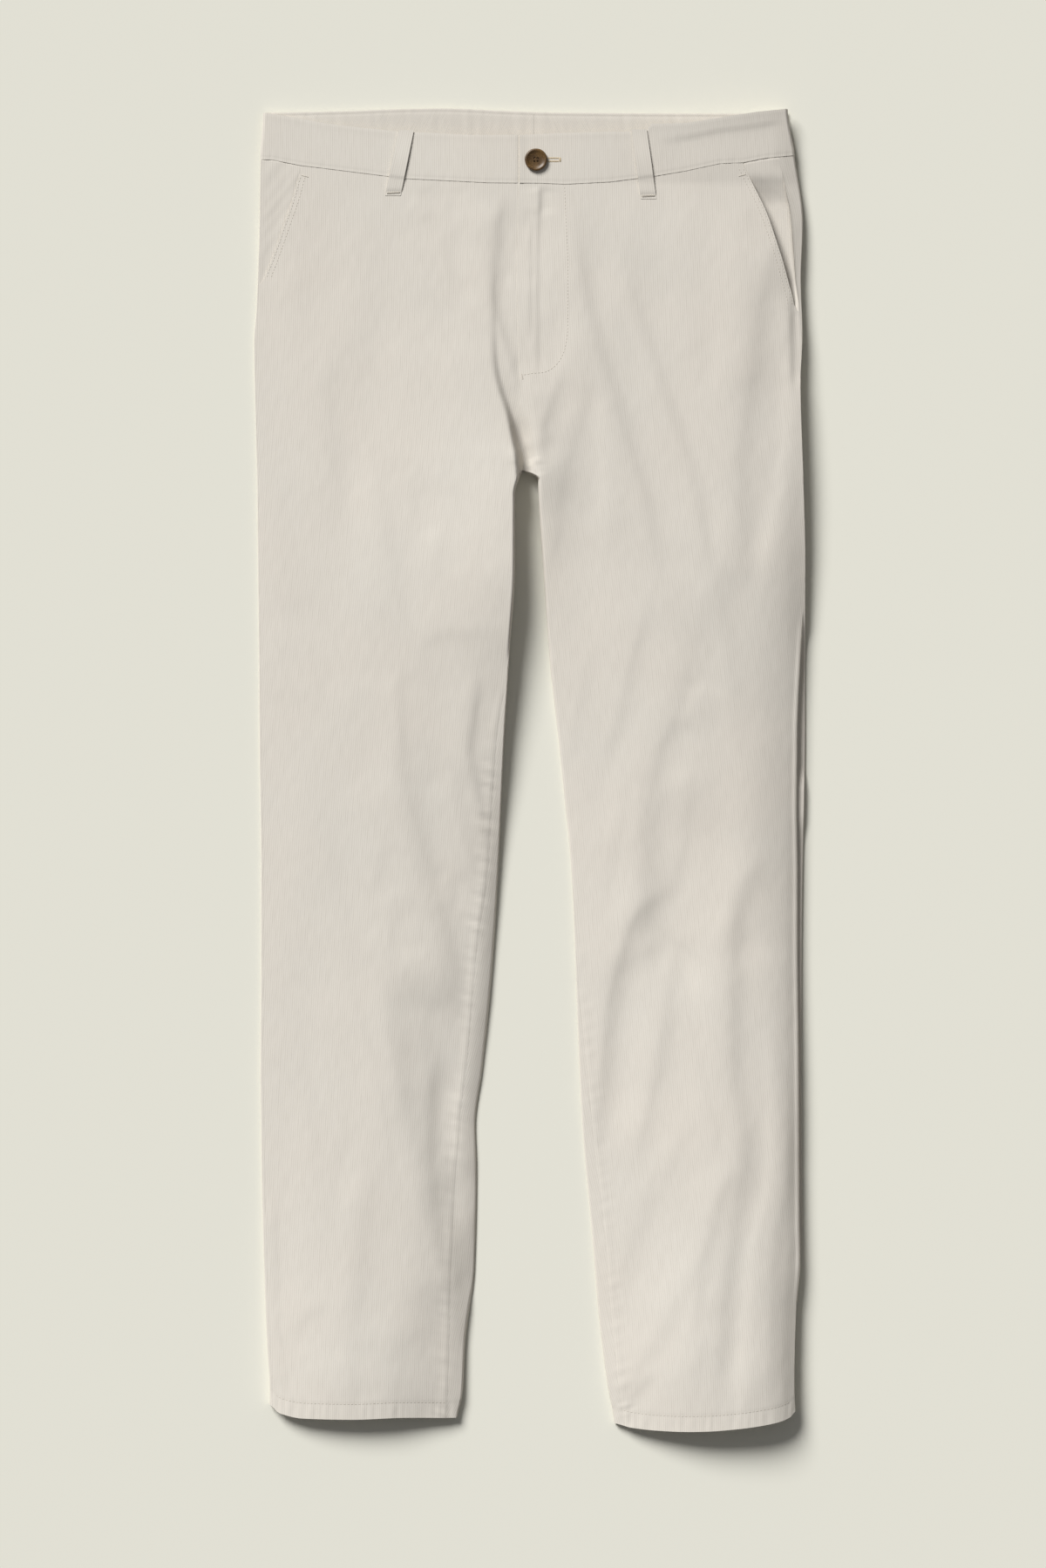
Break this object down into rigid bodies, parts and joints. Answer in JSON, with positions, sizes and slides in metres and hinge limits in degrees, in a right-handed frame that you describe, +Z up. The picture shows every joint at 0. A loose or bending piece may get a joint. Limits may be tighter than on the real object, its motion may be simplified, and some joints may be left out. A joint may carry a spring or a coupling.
{
  "type": "flat-laid chinos",
  "caption": "Straight-leg chinos laid flat on their back: open waist and hems, slanted front pockets, closed zip fly, waistband with belt loops and horn button.",
  "frame": {"origin": "centre of the bounding box's base, on the surface the chinos lie on", "axes": "+Y towards the waist, +Z up out of the front of the chinos, +X to the wearer's left"},
  "size_m": [0.4497, 1.0774, 0.0223],
  "materials": {
    "cloth": "fine ribbed cotton, off-white",
    "facing": "the same cloth cut on the bias",
    "zip": "closed coil zip on woven tape",
    "button": "brown horn effect, satin"
  },
  "bodies": {
    "root": {"front_right": "cloth", "front_left": "cloth", "back_right": "cloth", "back_left": "cloth", "pocket_bearer_right": "cloth", "pocket_bearer_left": "cloth", "waistband_front_right": "cloth", "waistband_front_left": "cloth", "waistband_back_right": "cloth", "waistband_back_left": "cloth", "waist_facing_right": "facing", "waist_facing_left": "facing", "fly_zip": "zip", "fly_shield": "cloth", "belt_loop_front_right": "cloth", "belt_loop_front_left": "cloth", "belt_loop_back_right": "cloth", "belt_loop_back_centre": "cloth", "belt_loop_back_left": "cloth", "waist_button": "button"}
  },
  "joints": []
}
